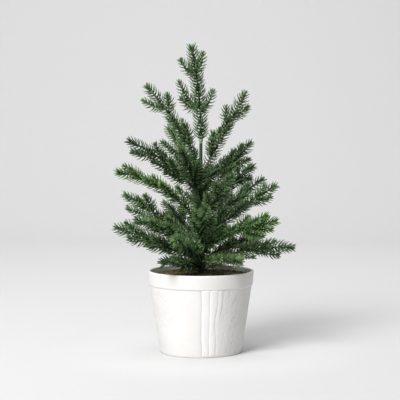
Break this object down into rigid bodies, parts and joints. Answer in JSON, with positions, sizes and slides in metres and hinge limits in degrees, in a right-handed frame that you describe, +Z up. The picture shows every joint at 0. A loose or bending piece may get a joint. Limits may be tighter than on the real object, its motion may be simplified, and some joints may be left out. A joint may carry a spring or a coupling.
{
  "type": "artificial tabletop tree",
  "caption": "Small artificial spruce with bendable moulded branches and a leader shoot, standing in a white textured tapered pot with a moss top.",
  "frame": {"origin": "centre of the pot's flat bottom face", "axes": "+Z up along the trunk, +X to the right and -Y towards the viewer at the front, where the pot's ribs are"},
  "size_m": [0.1978, 0.1695, 0.3442],
  "materials": {
    "pot_white": "matte",
    "plaster": "matte",
    "foam": "matte",
    "moss": "matte",
    "steel": "satin",
    "sleeve_green": "satin",
    "wire_green": "satin",
    "spray_green": "satin"
  },
  "bodies": {
    "root": {"pot": "pot_white", "ballast": "plaster", "foam_disc": "foam", "moss": "moss", "trunk_core": "steel", "trunk_sleeve_lower": "sleeve_green", "trunk_sleeve_upper": "sleeve_green"},
    "branch_upper_left": {"wire_upper_left": "wire_green", "spray_upper_left": "spray_green"},
    "branch_upper_right": {"wire_upper_right": "wire_green", "spray_upper_right": "spray_green"},
    "branch_left_high": {"wire_left_high": "wire_green", "spray_left_high": "spray_green"},
    "branch_back_left_high": {"wire_back_left_high": "wire_green", "spray_back_left_high": "spray_green"},
    "branch_right_high": {"wire_right_high": "wire_green", "spray_right_high": "spray_green"},
    "branch_back_right_high": {"wire_back_right_high": "wire_green", "spray_back_right_high": "spray_green"},
    "branch_left_mid": {"wire_left_mid": "wire_green", "spray_left_mid": "spray_green"},
    "branch_right_mid": {"wire_right_mid": "wire_green", "spray_right_mid": "spray_green"},
    "branch_right_long": {"wire_right_long": "wire_green", "spray_right_long": "spray_green"},
    "branch_right_front": {"wire_right_front": "wire_green", "spray_right_front": "spray_green"},
    "branch_right_bright": {"wire_right_bright": "wire_green", "spray_right_bright": "spray_green"},
    "branch_right_back_low": {"wire_right_back_low": "wire_green", "spray_right_back_low": "spray_green"},
    "branch_right_low": {"wire_right_low": "wire_green", "spray_right_low": "spray_green"},
    "branch_front_right_low": {"wire_front_right_low": "wire_green", "spray_front_right_low": "spray_green"},
    "branch_front_left_low": {"wire_front_left_low": "wire_green", "spray_front_left_low": "spray_green"},
    "branch_left_low": {"wire_left_low": "wire_green", "spray_left_low": "spray_green"},
    "branch_left_back": {"wire_left_back": "wire_green", "spray_left_back": "spray_green"},
    "branch_front_mid": {"wire_front_mid": "wire_green", "spray_front_mid": "spray_green"},
    "branch_front_right_mid": {"wire_front_right_mid": "wire_green", "spray_front_right_mid": "spray_green"},
    "branch_front_left_mid": {"wire_front_left_mid": "wire_green", "spray_front_left_mid": "spray_green"},
    "branch_front_high": {"wire_front_high": "wire_green", "spray_front_high": "spray_green"},
    "branch_front_low": {"wire_front_low": "wire_green", "spray_front_low": "spray_green"},
    "branch_back_mid": {"wire_back_mid": "wire_green", "spray_back_mid": "spray_green"},
    "branch_back_left_low": {"wire_back_left_low": "wire_green", "spray_back_left_low": "spray_green"},
    "branch_back_right_low": {"wire_back_right_low": "wire_green", "spray_back_right_low": "spray_green"},
    "leader": {"wire_leader": "wire_green", "spray_leader": "spray_green"}
  },
  "joints": [
    {"name": "upper_left_bend", "type": "hinge", "parent": "root", "child": "branch_upper_left", "pos_m": [-0.00372, 0.00079, 0.216], "axis": [0.2079, 0.9781, 0], "range_deg": [-20, 10]},
    {"name": "upper_right_bend", "type": "hinge", "parent": "root", "child": "branch_upper_right", "pos_m": [0.00344, -0.00161, 0.205], "axis": [-0.4226, -0.9063, 0], "range_deg": [-20, 8]},
    {"name": "left_high_bend", "type": "hinge", "parent": "root", "child": "branch_left_high", "pos_m": [-0.00372, -0.00079, 0.18], "axis": [-0.2079, 0.9781, 0], "range_deg": [-20, 20]},
    {"name": "back_left_high_bend", "type": "hinge", "parent": "root", "child": "branch_back_left_high", "pos_m": [-0.0019, 0.00329, 0.196], "axis": [0.866, 0.5, 0], "range_deg": [-20, 20]},
    {"name": "right_high_bend", "type": "hinge", "parent": "root", "child": "branch_right_high", "pos_m": [0.00322, 0.00201, 0.168], "axis": [0.5299, -0.848, 0], "range_deg": [-20, 20]},
    {"name": "back_right_high_bend", "type": "hinge", "parent": "root", "child": "branch_back_right_high", "pos_m": [0.00155, 0.00347, 0.184], "axis": [0.9135, -0.4067, 0], "range_deg": [-20, 20]},
    {"name": "left_mid_bend", "type": "hinge", "parent": "root", "child": "branch_left_mid", "pos_m": [-0.00357, -0.0013, 0.148], "axis": [-0.342, 0.9397, 0], "range_deg": [-20, 12]},
    {"name": "right_mid_bend", "type": "hinge", "parent": "root", "child": "branch_right_mid", "pos_m": [0.00244, 0.00291, 0.154], "axis": [0.766, -0.6428, 0], "range_deg": [-11, 10]},
    {"name": "right_long_bend", "type": "hinge", "parent": "root", "child": "branch_right_long", "pos_m": [0.00357, 0.0013, 0.13], "axis": [0.342, -0.9397, 0], "range_deg": [-20, 7]},
    {"name": "right_front_bend", "type": "hinge", "parent": "root", "child": "branch_right_front", "pos_m": [0.00376, -0.00053, 0.126], "axis": [-0.1392, -0.9903, 0], "range_deg": [-20, 20]},
    {"name": "right_bright_bend", "type": "hinge", "parent": "root", "child": "branch_right_bright", "pos_m": [0.00311, -0.00218, 0.118], "axis": [-0.5736, -0.8192, 0], "range_deg": [-20, 20]},
    {"name": "right_back_low_bend", "type": "hinge", "parent": "root", "child": "branch_right_back_low", "pos_m": [0.00291, 0.00244, 0.106], "axis": [0.6428, -0.766, 0], "range_deg": [-20, 20]},
    {"name": "right_low_bend", "type": "hinge", "parent": "root", "child": "branch_right_low", "pos_m": [0.00379, -0.00027, 0.099], "axis": [-0.0698, -0.9976, 0], "range_deg": [-14, 20]},
    {"name": "front_right_low_bend", "type": "hinge", "parent": "root", "child": "branch_front_right_low", "pos_m": [0.00178, -0.00336, 0.101], "axis": [-0.8829, -0.4695, 0], "range_deg": [-12, 20]},
    {"name": "front_left_low_bend", "type": "hinge", "parent": "root", "child": "branch_front_left_low", "pos_m": [-0.00196, -0.00326, 0.098], "axis": [-0.8572, 0.515, 0], "range_deg": [-9, 12]},
    {"name": "left_low_bend", "type": "hinge", "parent": "root", "child": "branch_left_low", "pos_m": [-0.00378, -0.0004, 0.104], "axis": [-0.1045, 0.9945, 0], "range_deg": [-20, 14]},
    {"name": "left_back_bend", "type": "hinge", "parent": "root", "child": "branch_left_back", "pos_m": [-0.00361, 0.00117, 0.118], "axis": [0.309, 0.9511, 0], "range_deg": [-15, 15]},
    {"name": "front_mid_bend", "type": "hinge", "parent": "root", "child": "branch_front_mid", "pos_m": [0.00027, -0.00379, 0.127], "axis": [-0.9976, -0.0698, 0], "range_deg": [-20, 20]},
    {"name": "front_right_mid_bend", "type": "hinge", "parent": "root", "child": "branch_front_right_mid", "pos_m": [0.0019, -0.00329, 0.147], "axis": [-0.866, -0.5, 0], "range_deg": [-20, 20]},
    {"name": "front_left_mid_bend", "type": "hinge", "parent": "root", "child": "branch_front_left_mid", "pos_m": [-0.00299, -0.00234, 0.118], "axis": [-0.6157, 0.788, 0], "range_deg": [-20, 20]},
    {"name": "front_high_bend", "type": "hinge", "parent": "root", "child": "branch_front_high", "pos_m": [-0.0013, -0.00357, 0.176], "axis": [-0.9397, 0.342, 0], "range_deg": [-20, 20]},
    {"name": "front_low_bend", "type": "hinge", "parent": "root", "child": "branch_front_low", "pos_m": [-0.0013, -0.00357, 0.107], "axis": [-0.9397, 0.342, 0], "range_deg": [-12, 20]},
    {"name": "back_mid_bend", "type": "hinge", "parent": "root", "child": "branch_back_mid", "pos_m": [-0.00033, 0.00379, 0.14], "axis": [0.9962, 0.0872, 0], "range_deg": [-20, 20]},
    {"name": "back_left_low_bend", "type": "hinge", "parent": "root", "child": "branch_back_left_low", "pos_m": [-0.00223, 0.00307, 0.124], "axis": [0.809, 0.5878, 0], "range_deg": [-20, 20]},
    {"name": "back_right_low_bend", "type": "hinge", "parent": "root", "child": "branch_back_right_low", "pos_m": [0.00092, 0.00369, 0.11], "axis": [0.9703, -0.2419, 0], "range_deg": [-20, 20]},
    {"name": "leader_lean", "type": "hinge", "parent": "root", "child": "leader", "pos_m": [0, 0, 0.24], "axis": [0, 1, 0], "range_deg": [-10, 10]}
  ]
}
